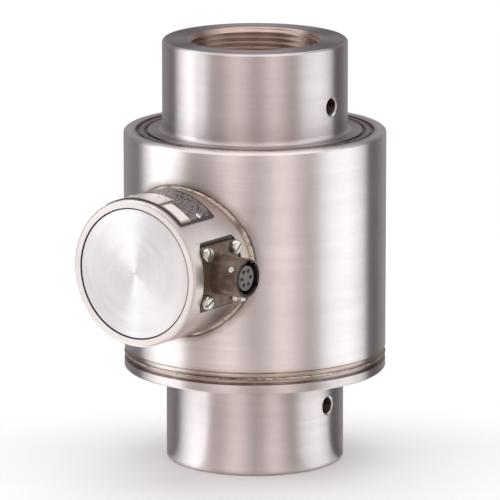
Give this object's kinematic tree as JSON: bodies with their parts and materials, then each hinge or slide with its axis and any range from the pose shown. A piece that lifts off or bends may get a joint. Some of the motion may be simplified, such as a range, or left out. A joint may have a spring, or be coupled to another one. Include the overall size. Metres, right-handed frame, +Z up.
{
  "type": "tension load cell",
  "caption": "Stainless tension load cell: round can with a threaded boss at each end and a round side housing that carries a bayonet electrical receptacle.",
  "frame": {"origin": "centre of the lower end face, on the load axis", "axes": "+Z up along the load axis, +X out of the electrical receptacle's mouth, -Y out of the side housing's round cover"},
  "size_m": [0.1018, 0.1303, 0.1651],
  "materials": {
    "element_steel": "turned stainless steel, satin, with fine circumferential tool marks",
    "casing_steel": "turned stainless steel, satin, with fine circumferential tool marks",
    "weld_steel": "fused stainless weld bead with straw and brown heat tint beside it",
    "housing_steel": "turned stainless steel, polished on its side",
    "cover_steel": "face-turned stainless steel with concentric lay",
    "seal_rubber": "black seal ring",
    "gasket_rubber": "dark flat gasket",
    "shell_olive": "olive drab plated receptacle shell, slightly worn",
    "pin_steel": "bright steel bayonet pins",
    "insert_rubber": "dark grey moulded insulator",
    "contact_gold": "gold plated socket contacts",
    "screw_steel": "bright slotted pan-head screws",
    "plate_foil": "dark printed metal foil plate with bare silver and white fields",
    "gauge_film": "amber film strain gauges",
    "strip_laminate": "glass laminate solder strips",
    "wire_jacket": "white insulated wire",
    "lead_jacket": "grey jacketed lead",
    "bushing_plastic": "white insulating bushing",
    "spacer_brass": "plain brass spacers",
    "board_laminate": "green laminate board",
    "resistor_body": "brown wound resistors",
    "turret_tin": "tinned brass turrets"
  },
  "bodies": {
    "root": {"spring_element": "element_steel", "casing_tube": "casing_steel", "casing_base_weld": "weld_steel", "casing_top_weld": "weld_steel", "terminal_housing": "housing_steel", "housing_weld": "weld_steel", "housing_cover": "cover_steel", "cover_seal": "seal_rubber", "receptacle_gasket": "gasket_rubber", "receptacle_shell": "shell_olive", "bayonet_pins": "pin_steel", "receptacle_insert": "insert_rubber", "receptacle_contacts": "contact_gold", "flange_screws": "screw_steel", "nameplate": "plate_foil", "nameplate_pins": "screw_steel", "strain_gauges": "gauge_film", "terminal_strips": "strip_laminate", "bridge_wires": "wire_jacket", "gauge_lead": "lead_jacket", "port_bushing": "bushing_plastic", "board_standoffs": "spacer_brass", "terminal_board": "board_laminate", "board_screws": "screw_steel", "trim_resistors": "resistor_body", "solder_turrets": "turret_tin", "hookup_wires": "wire_jacket"}
  },
  "joints": []
}
